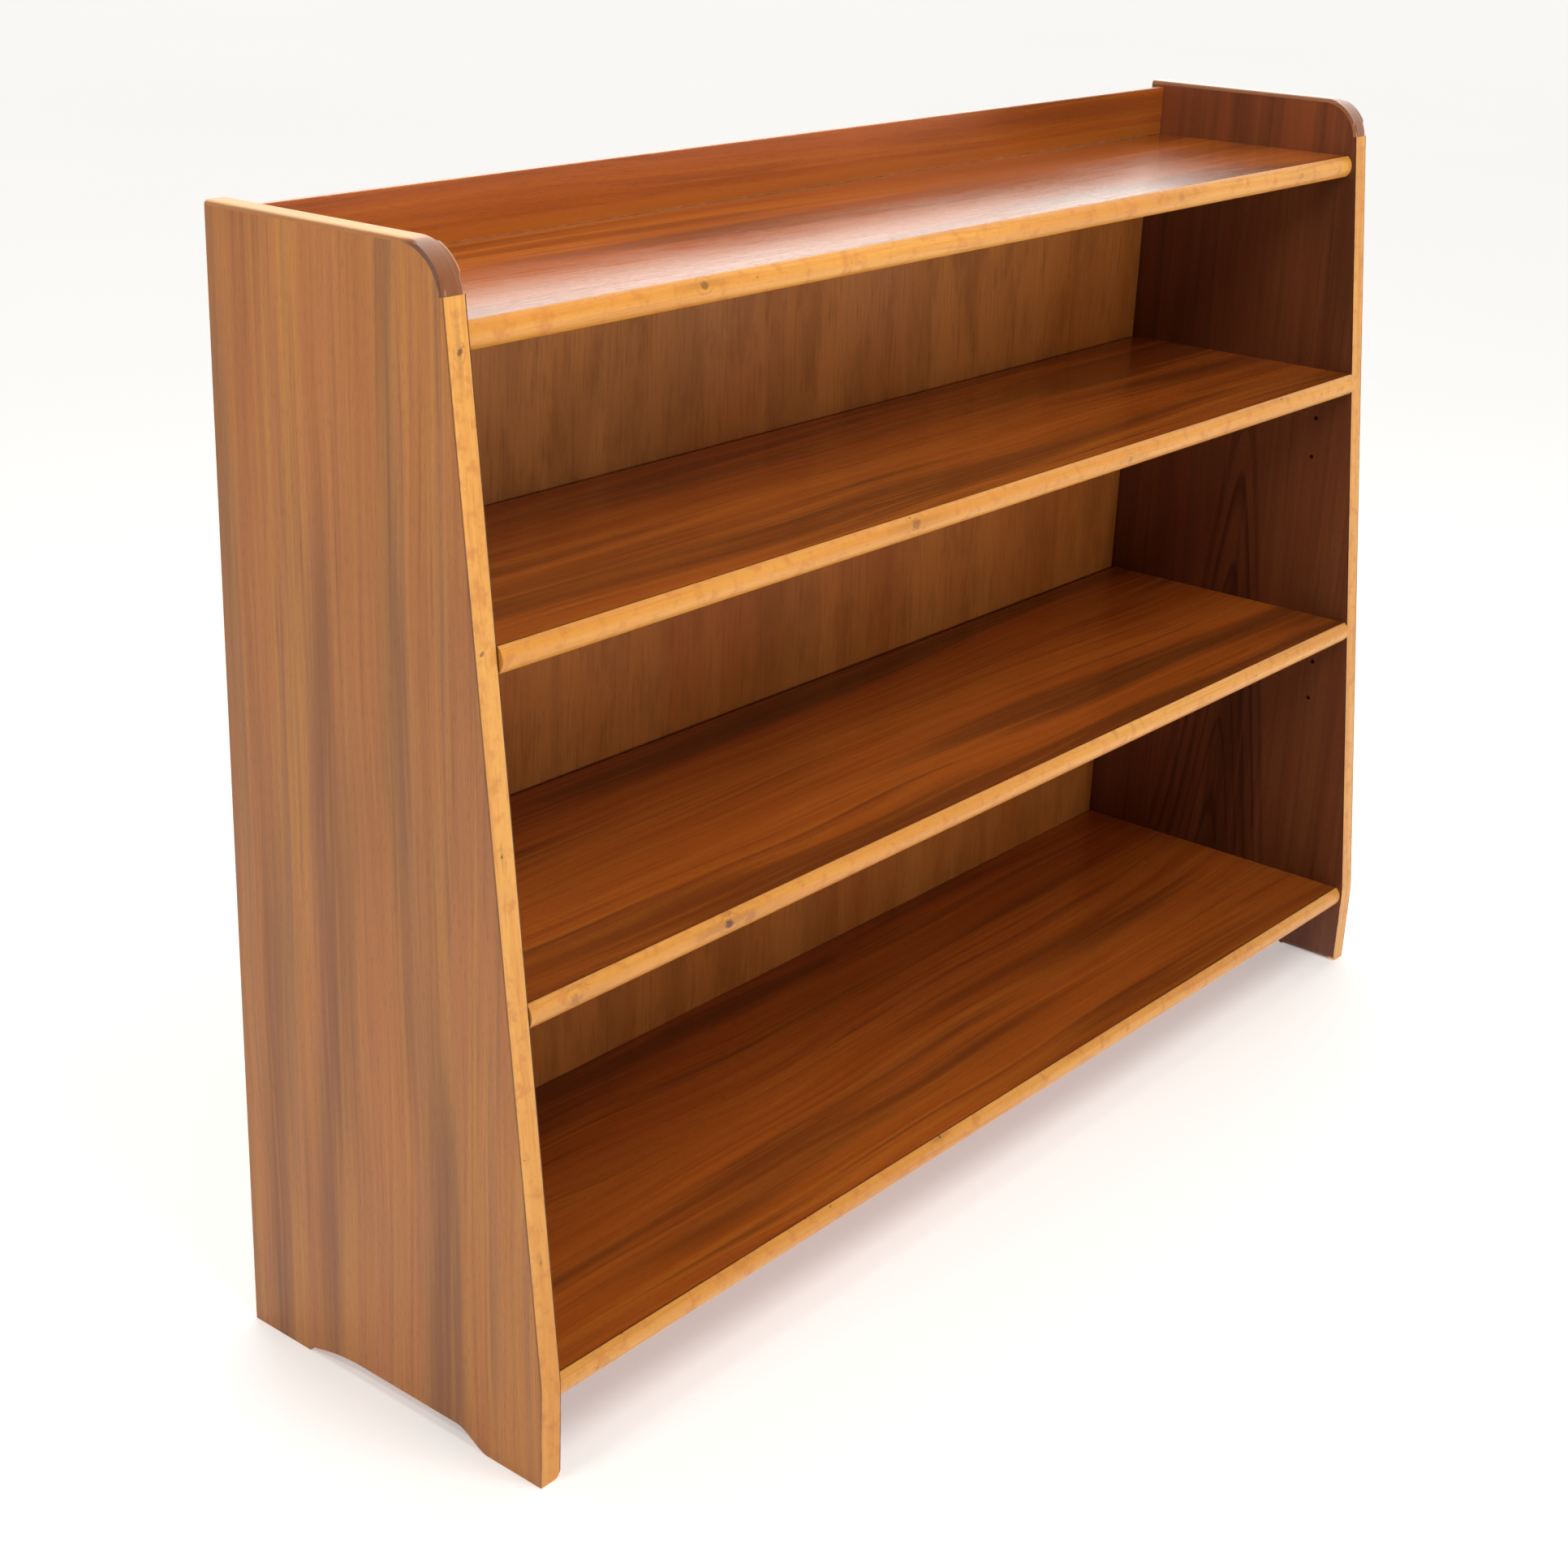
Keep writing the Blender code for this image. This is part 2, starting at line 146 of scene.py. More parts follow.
def addRod(name, start, end, radius, corners=48):
    # a round bar between two points
    bpy.ops.object.select_all(action="DESELECT")
    start, end = Vector(start), Vector(end)
    length, middle = (end - start).length, (start + end) / 2
    turn = (end - start).to_track_quat("Z", "Y").to_euler()
    place = {"location": middle, "rotation": turn}
    bpy.ops.mesh.primitive_cylinder_add(vertices=corners, radius=radius, depth=length, **place)
    return settle(rename(bpy.context.object, name))


def sliceOff(obj, point, normal):
    # cuts off what lies beyond the plane, and closes the cut
    editOn(obj, "SELECT")
    bpy.ops.mesh.bisect(plane_co=point, plane_no=normal, use_fill=True, clear_outer=True)
    editOff()


def finishWith(obj, kind, **settings):
    pick(obj)
    modifier = obj.modifiers.new(kind.lower(), kind)
    for key, value in settings.items():
        setattr(modifier, key, value)
    bpy.ops.object.modifier_apply(modifier=modifier.name)


def subtract(obj, cutters):
    # takes the cutters away and removes them
    pick(*cutters)
    if len(cutters) > 1:
        bpy.ops.object.join()
    finishWith(obj, "BOOLEAN", operation="DIFFERENCE", solver="EXACT", use_self=True, object=cutters[0])
    bpy.data.objects.remove(cutters[0])


def softenArrises(obj, width, steps=2, angle=30):
    limit = {"limit_method": "ANGLE", "angle_limit": math.radians(angle)}
    finishWith(obj, "BEVEL", width=width, segments=steps, **limit)


def smooth(obj, angle=30):
    pick(obj)
    bpy.ops.object.shade_smooth_by_angle(angle=math.radians(angle))
    finishWith(obj, "WEIGHTED_NORMAL", keep_sharp=True)  # keeps broad faces flat between arrises
    return obj


def mirrorAcross(obj, name):
    # the same piece at the other end of the bookcase
    twin = obj.copy()
    twin.data = obj.data.copy()
    bpy.context.scene.collection.objects.link(twin)
    rename(twin, name).scale = (-1, 1, 1)
    settle(twin)
    editOn(twin, "SELECT")
    bpy.ops.mesh.normals_make_consistent(inside=False)
    editOff()
    return twin


def stands(piece, node, body="case"):
    # the piece takes the place of a CAD node
    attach(piece, body)
    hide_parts(node)
    return piece


# sides: a veneered board whose veneers run on over a light lipping, under a dark edging

side = {
    "kinkHeight": 0.092,  # where the upright foot turns into the sloping front
    "kinkReach": 0.010,  # the soft turn there, each way
    "kinkSteps": 8,
    "cornerRadius": 0.042,
    "cornerSteps": 32,
    "cornerReach": 0.0002,  # how near to the round an edge has to be to count as on it
    "edging": 0.004,
    "edgingRound": 0.0038,
    "cutterOutset": 0.006,  # how far the cutters for edging and lipping stand out from the side
    "veneer": 0.0007,
    "lipping": 0.008,
    "arris": 0.00035,
    "rearFoot": 0.0735,
    "frontFoot": 0.0615,
    "cutout": 0.015,
    "ogee": 0.038,
    "rearStep": 0.006,
    "rearStepLength": 0.010,
    "rearRise": 0.060,
    "footSteps": 220,
    "footCutter": (0.1, 0.03),  # its width and its drop
    "holeRadius": 0.00255,
    "holeDepth": 0.0086,
    "holePitch": 0.045,
    "holes": 3,
    "wornCorner": 0.0085,
    "wornSpare": 0.0002,
    "wornPast": 0.008,  # behind the front foot
    "rebateWidth": 0.009,
    "dowelGap": 0.0003,
}

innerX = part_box("side_panel_right")[0].x
outerX = caseHigh.x
edgingPoints = [point.co for point in frame["nodes"]["side_edging_right"].data.vertices]
frontTop = min(edgingPoints, key=lambda co: co.y).copy()  # where the edging ends on the front
slope = (frontTop.y - caseLow.y) / (frontTop.z - side["kinkHeight"])
frontNormal = Vector((0, -1, slope)).normalized()
alongFront = Vector((0, frontNormal.z, -frontNormal.y))
wireNodes = [node for node in frame["nodes"] if "wire" in node]
dowelNodes = [node for node in frame["nodes"] if "dowel" in node]
screwNodes = [node for node in frame["nodes"] if "screw" in node]


def sideBlank(name, lowX, highX, inset=0.0, spare=0.0):
    # the outline of a side without its feet, moved in from its front and top by the inset
    low = (lowX, caseLow.y + inset, -spare)
    high = (highX, caseHigh.y + spare, caseHigh.z - inset)
    block = addBlock(name, low, high)
    sliceOff(block, Vector((0, caseLow.y, side["kinkHeight"])) - frontNormal * inset, frontNormal)
    return block


def roundTopCorner(block, radius):
    # rounds the edge between the sloping front and the top
    turn = math.pi / 2 - math.asin(frontNormal.z)
    top = max(point.co.z for point in block.data.vertices)
    front = min(point.co.y for point in block.data.vertices if near(point.co.z, top))
    editOn(block)
    chooseEdges(block, lambda co: near(co.z, top) and near(co.y, front))
    reach = radius * math.tan(turn / 2)
    bpy.ops.mesh.bevel(offset=reach, segments=side["cornerSteps"], profile=0.5)
    editOff()


def softenKink(block):
    # rounds the edge between the foot and the sloping front
    front = min(point.co.y for point in block.data.vertices)
    kink = max(point.co.z for point in block.data.vertices if near(point.co.y, front))
    editOn(block)
    chooseEdges(block, lambda co: near(co.z, kink) and near(co.y, front))
    bpy.ops.mesh.bevel(offset=side["kinkReach"], segments=side["kinkSteps"], profile=0.5)
    editOff()


def footHeight(y):
    # the height of a side's underside between its feet
    front, rear = caseLow.y + side["frontFoot"], caseHigh.y - side["rearFoot"]
    stepTop = rear - side["rearStepLength"]
    if y < front + side["ogee"]:
        share = (y - front) / side["ogee"]
        return side["cutout"] * share * share * (3 - 2 * share)
    if y > stepTop:
        share = min((y - stepTop) / side["rearStepLength"], 1)
        return side["rearStep"] * math.sqrt(1 - share * share)
    if y > stepTop - side["rearRise"]:
        share = (y - stepTop + side["rearRise"]) / side["rearRise"]
        return side["rearStep"] + (side["cutout"] - side["rearStep"]) * (1 - share * share)
    return side["cutout"]


def footCutter():
    # the shallow cut-out between the feet
    front, rear = caseLow.y + side["frontFoot"], caseHigh.y - side["rearFoot"]
    width, drop = side["footCutter"]
    middle, steps = (outerX, (front + rear) / 2, 0), side["footSteps"]
    bpy.ops.object.select_all(action="DESELECT")
    bpy.ops.mesh.primitive_grid_add(x_subdivisions=1, y_subdivisions=steps, size=1, location=middle)
    sheet = rename(bpy.context.object, "footCutter")
    sheet.scale = (width, rear - front, 1)
    settle(sheet)
    for point in sheet.data.vertices:
        point.co.z = footHeight(point.co.y)
    editOn(sheet, "SELECT")
    bpy.ops.mesh.extrude_region_move(TRANSFORM_OT_translate={"value": (0, 0, -drop)})
    bpy.ops.mesh.select_all(action="SELECT")
    bpy.ops.mesh.normals_make_consistent(inside=False)
    editOff()
    return sheet


def wornFootCutter():
    # what wear has taken off the inner corner of the front foot
    radius = side["wornCorner"]
    front, rear = caseLow.y, caseLow.y + side["frontFoot"] + side["wornPast"]
    low = (innerX - overrun, front - overrun, -overrun)
    block = addBlock("wornFoot", low, (innerX + radius, rear, radius))
    axis = innerX + radius
    start, end = (axis, front - wellPast, radius), (axis, rear + wellPast, radius)
    # the bar is a little wider than the wear, so that it meets the underside at an angle
    bar = addRod("wornRound", start, end, radius + side["wornSpare"], 96)
    subtract(block, [bar])
    return block


def wireHoles():
    # three holes one below the other for each leg of each wire on the right
    bars = []
    for node in wireNodes:
        low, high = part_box(node)
        if low.x < 0:
            continue
        radius = (high.z - low.z) / 2
        top = (low.z + high.z) / 2
        for y in (low.y + radius, high.y - radius):
            for row in range(side["holes"]):
                z = top - row * side["holePitch"]
                start, end = (innerX - overrun, y, z), (innerX + side["holeDepth"], y, z)
                bars.append(addRod("wireHole", start, end, side["holeRadius"], 40))
    return bars


def dowelHoles(board, nodes):
    # room for each CAD dowel or screw that reaches into the board
    places = [point.co for point in board.data.vertices]
    boardLow = [min(place[axis] for place in places) for axis in range(3)]
    boardHigh = [max(place[axis] for place in places) for axis in range(3)]
    bars, gap = [], side["dowelGap"]
    for node in nodes:
        low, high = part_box(node)
        if any(low[axis] > boardHigh[axis] or high[axis] < boardLow[axis] for axis in range(3)):
            continue
        spans = [high[axis] - low[axis] for axis in range(3)]
        length = spans.index(max(spans))
        middle = (low + high) / 2
        start, end = middle.copy(), middle.copy()
        start[length], end[length] = low[length] - gap, high[length] + gap
        radius = max(span for axis, span in enumerate(spans) if axis != length) / 2 + gap
        bars.append(addRod("dowelHole", start, end, radius, 32))
    return bars


def edgingBand(name, lowX, highX, outset=0.0):
    # the strip over the top and round the corner
    spare = wellPast if outset else 0.0
    band = sideBlank(name, lowX, highX, -outset, spare)
    roundTopCorner(band, side["cornerRadius"] + outset)
    ends = (lowX - wellPast, highX + wellPast)
    inside = sideBlank("edgingInside", *ends, side["edging"], 2 * wellPast)
    roundTopCorner(inside, side["cornerRadius"] - side["edging"])
    subtract(band, [inside])
    sliceOff(band, frontTop, -alongFront)
    return band


def lippingStrip(name, lowX, highX, outset=0.0):
    # the strip down the front edge
    spare = wellPast if outset else 0.0
    strip = sideBlank(name, lowX, highX, -outset, spare)
    softenKink(strip)
    ends = (lowX - wellPast, highX + wellPast)
    core = sideBlank("lippingCore", *ends, side["lipping"], 2 * wellPast)
    softenKink(core)
    subtract(strip, [core])
    sliceOff(strip, frontTop, alongFront)
    return strip


def makeSides():
    # the right side is made first, and the left one is its mirror image
    board = sideBlank("rightBoard", innerX, outerX)
    roundTopCorner(board, side["cornerRadius"])
    softenKink(board)
    outset = side["cutterOutset"]
    subtract(board, [edgingBand("edgingCutter", innerX - wellPast, outerX + wellPast, outset)])
    between = (innerX + side["veneer"], outerX - side["veneer"])
    subtract(board, [lippingStrip("lippingCutter", *between, outset)])
    backLow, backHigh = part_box("back_panel")
    gap = side["dowelGap"]
    low = (innerX - overrun, backLow.y - gap, backLow.z - gap)
    high = (innerX + side["rebateWidth"], caseHigh.y + overrun, backHigh.z + gap)
    subtract(board, [addBlock("rebate", low, high)])
    subtract(board, [footCutter()])
    subtract(board, wireHoles() + dowelHoles(board, dowelNodes + screwNodes))
    softenArrises(board, side["arris"])
    subtract(board, [wornFootCutter()])

    lipping = lippingStrip("rightLipping", *between)
    subtract(lipping, [wornFootCutter()])
    softenArrises(lipping, side["arris"])

    edging = edgingBand("rightEdging", innerX, outerX)
    top = caseHigh.z
    centre = frontTop - frontNormal * side["cornerRadius"]

    def onOutside(co):
        flat = Vector((0, co.y - centre.y, co.z - centre.z))
        onArc = near(flat.length, side["cornerRadius"], side["cornerReach"])
        return (onArc or near(co.z, top)) and (near(co.x, innerX) or near(co.x, outerX))

    editOn(edging)
    chooseEdges(edging, onOutside, level=0)
    bpy.ops.mesh.bevel(offset=side["edgingRound"], segments=8, profile=0.5)
    editOff()

    for piece, name, node in (
        (board, "Board", "panel"),
        (lipping, "Lipping", "lipping"),
        (edging, "Edging", "edging"),
    ):
        twin = smooth(mirrorAcross(piece, "left" + name))
        smooth(piece)
        stands(piece, f"side_{node}_right")
        stands(twin, f"side_{node}_left")
    print("sides made")


makeSides()


# shelves: veneered boards with a light rounded nosing along the front

shelf = {
    "arris": 0.00025,
    "noseRound": 0.0058,  # how far the rounded part of a nosing stands out
    "noseCorners": 180,
    "grooveAhead": 0.009,  # of the wire
    "grooveDepth": 0.01475,  # from the face of the side
    "grooveSpare": 0.0003,
}


def grooves(word):
    # the slots in a shelf's ends that slide over the wires, open at the rear
    blocks = []
    for hand in ("left", "right"):
        low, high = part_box(f"{word}_shelf_wire_{hand}")
        depths = (innerX + overrun, innerX - shelf["grooveDepth"])
        reach = sorted(math.copysign(depth, low.x) for depth in depths)
        spare = shelf["grooveSpare"]
        start = (reach[0], low.y - shelf["grooveAhead"], low.z - spare)
        blocks.append(addBlock("groove", start, (reach[1], caseHigh.y, high.z + spare)))
    return blocks


def makeNosing(word):
    # a bar whose rounded front is a shallow arc
    low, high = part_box(f"{word}_shelf_lipping")
    depth, half = shelf["noseRound"], (high.z - low.z) / 2
    radius = (half * half + depth * depth) / (2 * depth)
    y, z = low.y + radius, (low.z + high.z) / 2
    nose = addRod(word + "Nosing", (low.x, y, z), (high.x, y, z), radius, shelf["noseCorners"])
    sliceOff(nose, (0, low.y + depth, 0), (0, 1, 0))
    editOn(nose)
    chooseFaces(nose, lambda middle, normal: normal.y > 0.99)
    bpy.ops.mesh.extrude_region_move(TRANSFORM_OT_translate={"value": (0, high.y - low.y - depth, 0)})
    editOff()
    softenArrises(nose, shelf["arris"])
    return smooth(nose)


def makeShelf(word, body):
    board = addBlock(word + "Shelf", *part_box(word + "_shelf"))
    cutters = grooves(word) if body != "case" else dowelHoles(board, dowelNodes + screwNodes)
    subtract(board, cutters)
    softenArrises(board, shelf["arris"])
    stands(smooth(board), word + "_shelf", body)
    stands(makeNosing(word), word + "_shelf_lipping", body)


shelfBodies = {"top": "case", "upper": "upper_shelf", "lower": "lower_shelf", "bottom": "case"}
for word, body in shelfBodies.items():
    makeShelf(word, body)
print("shelves made")


# upstand: a thin rail along the rear of the top shelf

upstand = {"topRound": 0.0014, "arris": 0.00025}


def makeUpstand():
    low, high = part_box("upstand")
    rail = addBlock("upstandRail", low, high)
    subtract(rail, dowelHoles(rail, dowelNodes))
    editOn(rail)
    chooseEdges(rail, lambda co: near(co.z, high.z), level=1)
    bpy.ops.mesh.bevel(offset=upstand["topRound"], segments=6, profile=0.5)
    editOff()
    softenArrises(rail, upstand["arris"])
    stands(smooth(rail), "upstand")


makeUpstand()
print("upstand made")


# wires: one bent wire in each end of each adjustable shelf

wire = {
    "corners": 24,
    "leg": 0.008,  # how far it reaches into the side
    "bend": 0.0037,
    "bendSteps": 10,
    "tip": 0.0006,
}


def makeWire(node):
    # a disc drawn out along a leg, round a bend, along the bow, round a bend and along a leg
    low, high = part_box(node)
    hand = 1 if low.x > 0 else -1
    radius, bend, leg = (high.z - low.z) / 2, wire["bend"], wire["leg"]
    front, rear, z = low.y + radius, high.y - radius, (low.z + high.z) / 2
    face = hand * innerX
    corners = wire["corners"]
    tip = {"location": (face + hand * leg, front, z), "rotation": (0, math.pi / 2, 0)}
    bpy.ops.object.select_all(action="DESELECT")
    bpy.ops.mesh.primitive_circle_add(vertices=corners, radius=radius, fill_type="NGON", **tip)
    bow = settle(rename(bpy.context.object, node.replace("_", "-")))
    editOn(bow, "SELECT")
    bpy.ops.mesh.extrude_region_move(TRANSFORM_OT_translate={"value": (-hand * leg, 0, 0)})
    bendOnce = {"steps": wire["bendSteps"], "angle": hand * math.pi / 2, "axis": (0, 0, 1)}
    bpy.ops.mesh.spin(center=(face, front + bend, z), **bendOnce)
    bpy.ops.mesh.extrude_region_move(TRANSFORM_OT_translate={"value": (0, rear - front - 2 * bend, 0)})
    bpy.ops.mesh.spin(center=(face, rear - bend, z), **bendOnce)
    bpy.ops.mesh.extrude_region_move(TRANSFORM_OT_translate={"value": (hand * leg, 0, 0)})
    bpy.ops.mesh.select_all(action="SELECT")
    bpy.ops.mesh.normals_make_consistent(inside=False)
    editOff()
    softenArrises(bow, wire["tip"], 3, 50)
    stands(smooth(bow), node, node)


for node in wireNodes:
    makeWire(node)
print("wires made")


# screws: cross-slotted, countersunk, along the edges of the back

screw = {
    "corners": 40,
    "slotLength": 0.0042,
    "slotWidth": 0.0010,
    "slotDepth": 0.0011,
    "rim": 0.00012,
    "headHeight": 0.0024,
    "shank": 0.0017,  # radius
    "point": 0.0002,  # radius
    "taperFrom": 0.8,  # share of the length
}


def makeScrew(node):
    low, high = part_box(node)
    middle = (low + high) / 2
    head, length = (high.x - low.x) / 2, high.y - low.y
    rings = [  # how far in, and how wide
        (screw["rim"], head),
        (screw["headHeight"], screw["shank"]),
        (length * screw["taperFrom"], screw["shank"]),
        (length, screw["point"]),
    ]
    corners, wide = screw["corners"], head - screw["rim"]
    start = {"location": (middle.x, high.y, middle.z), "rotation": (math.pi / 2, 0, 0)}
    bpy.ops.object.select_all(action="DESELECT")
    bpy.ops.mesh.primitive_circle_add(vertices=corners, radius=wide, fill_type="NGON", **start)
    body = settle(rename(bpy.context.object, node.replace("_", "-")))
    editOn(body, "SELECT")
    depth = 0
    for reach, radius in rings:
        bpy.ops.mesh.extrude_region_move(TRANSFORM_OT_translate={"value": (0, depth - reach, 0)})
        centre = (middle.x, high.y - reach, middle.z)
        share = radius / wide
        bpy.ops.transform.resize(value=(share, 1, share), center_override=centre)
        depth, wide = reach, radius
    bpy.ops.mesh.select_all(action="SELECT")
    bpy.ops.mesh.normals_make_consistent(inside=False)
    editOff()
    half, thin = screw["slotLength"] / 2, screw["slotWidth"] / 2
    cross = []
    for x, z in ((half, thin), (thin, half)):
        low = (middle.x - x, high.y - screw["slotDepth"], middle.z - z)
        cross.append(addBlock("slot", low, (middle.x + x, high.y + overrun, middle.z + z)))
    subtract(body, cross)
    return smooth(body)


def makeScrews():
    # one screw, and copies of it at the other places
    first = makeScrew(screwNodes[0])
    home = sum(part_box(screwNodes[0]), Vector()) / 2
    made = {screwNodes[0]: first}
    for node in screwNodes[1:]:
        piece = first.copy()
        piece.data = first.data.copy()
        bpy.context.scene.collection.objects.link(piece)
        rename(piece, node.replace("_", "-")).location = sum(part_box(node), Vector()) / 2 - home
        made[node] = settle(piece)
    for node, piece in made.items():
        stands(piece, node)
    return list(made.values())


screws = makeScrews()
print("screws made")


# materials

class Value:
    # a number in a shader, which arithmetic can be written with

    def __init__(self, paint, socket):
        self.paint, self.socket = paint, socket

    def __add__(self, other):
        return self.paint.maths("ADD", self, other)

    def __sub__(self, other):
        return self.paint.maths("SUBTRACT", self, other)

    def __rsub__(self, other):
        return self.paint.maths("SUBTRACT", other, self)

    def __mul__(self, other):
        return self.paint.maths("MULTIPLY", self, other)

    def __truediv__(self, other):
        return self.paint.maths("DIVIDE", self, other)

    def __abs__(self):
        return self.paint.maths("ABSOLUTE", self)

    __radd__ = __add__
    __rmul__ = __mul__


class Paint:
    # one material, with the nodes that it is made of

    def __init__(self, name, **same):
        self.material = bpy.data.materials.new(name)
        self.material.use_nodes = True
        self.tree = self.material.node_tree
        self.shader = self.tree.nodes["Principled BSDF"]
        for key, value in same.items():
            self.shader.inputs[key.replace("_", " ")].default_value = value
        place = Value(self, self.node("TexCoord").outputs["Object"])
        split = self.node("SeparateXYZ", {}, {0: place})
        self.x, self.y, self.z = (Value(self, socket) for socket in split.outputs)

    def node(self, kind, settings={}, inputs={}):
        made = self.tree.nodes.new("ShaderNode" + kind)
        for key, value in settings.items():
            setattr(made, key, value)
        for key, value in inputs.items():
            self.feed(made.inputs[key], value)
        return made

    def feed(self, socket, value):
        if isinstance(value, Value):
            self.tree.links.new(value.socket, socket)
        else:
            socket.default_value = value

    def maths(self, operation, *values):
        made = self.node("Math", {"operation": operation}, dict(enumerate(values)))
        return Value(self, made.outputs[0])

    def least(self, *values):
        found = values[0]
        for value in values[1:]:
            found = self.maths("MINIMUM", found, value)
        return found

    def most(self, *values):
        found = values[0]
        for value in values[1:]:
            found = self.maths("MAXIMUM", found, value)
        return found

    def fade(self, value, start, end, low=0.0, high=1.0):
        # low before the start and high after the end, with a soft change between
        settings = {"interpolation_type": "SMOOTHSTEP", "clamp": True}
        inputs = {0: value, 1: start, 2: end, 3: low, 4: high}
        if start > end:
            inputs.update({1: end, 2: start, 3: high, 4: low})
        return Value(self, self.node("MapRange", settings, inputs).outputs[0])

    def noise(self, x, y, z, detail=2.0, rough=0.5):
        at = Value(self, self.node("CombineXYZ", {}, {0: x, 1: y, 2: z}).outputs[0])
        inputs = {"Vector": at, "Scale": 1.0, "Detail": detail, "Roughness": rough}
        return Value(self, self.node("TexNoise", {}, inputs).outputs[0])

    def mix(self, share, low, high, blend="MIX"):
        settings = {"data_type": "RGBA", "blend_type": blend}
        return Value(self, self.node("Mix", settings, {0: share, 6: low, 7: high}).outputs[2])

    def finish(self, colour, roughness, height, strength=0.3, distance=0.0004):
        inputs = {"Height": height, "Strength": strength, "Distance": distance}
        bump = Value(self, self.node("Bump", {}, inputs).outputs[0])
        self.feed(self.shader.inputs["Base Color"], colour)
        self.feed(self.shader.inputs["Roughness"], roughness)
        self.feed(self.shader.inputs["Normal"], bump)
        return self.material


def tone(red, green, blue):
    # a colour as it is picked on a screen, from 0 to 255
    shares = [part / 255 for part in (red, green, blue)]
    return tuple(s / 12.92 if s < 0.04045 else ((s + 0.055) / 1.055) ** 2.4 for s in shares) + (1.0,)


def edgeGap(paint, low, high):
    # the distance to a block's nearest edge, for a point on its surface
    gaps = []
    for value, start, end in zip((paint.x, paint.y, paint.z), low, high):
        gaps.append(paint.least(value - start, end - value))
    total = gaps[0] + gaps[1] + gaps[2]
    return total - paint.most(*gaps) - paint.least(*gaps)


veneer = {  # a palette is its base, pink, yellow and grey
    "outer": (tone(174, 104, 41), tone(180, 109, 52), tone(192, 126, 48), tone(150, 98, 52)),
    "inner": (tone(170, 86, 28), tone(180, 92, 34), tone(190, 108, 36), tone(132, 66, 26)),
    # painted shade: the inner faces of the sides, darker for the shade inside the bays
    "shadedWall": (tone(112, 62, 36), tone(122, 66, 40), tone(124, 74, 42), tone(94, 56, 36)),
    "dark": tone(98, 50, 22),
    "litAboveTop": tone(152, 80, 44),  # painted light on the inner faces above the top shelf
    # painted shade: the dark figure on the inner faces
    "shadedWallDark": tone(50, 24, 14),
    "wornAndLit": tone(205, 150, 96),
}


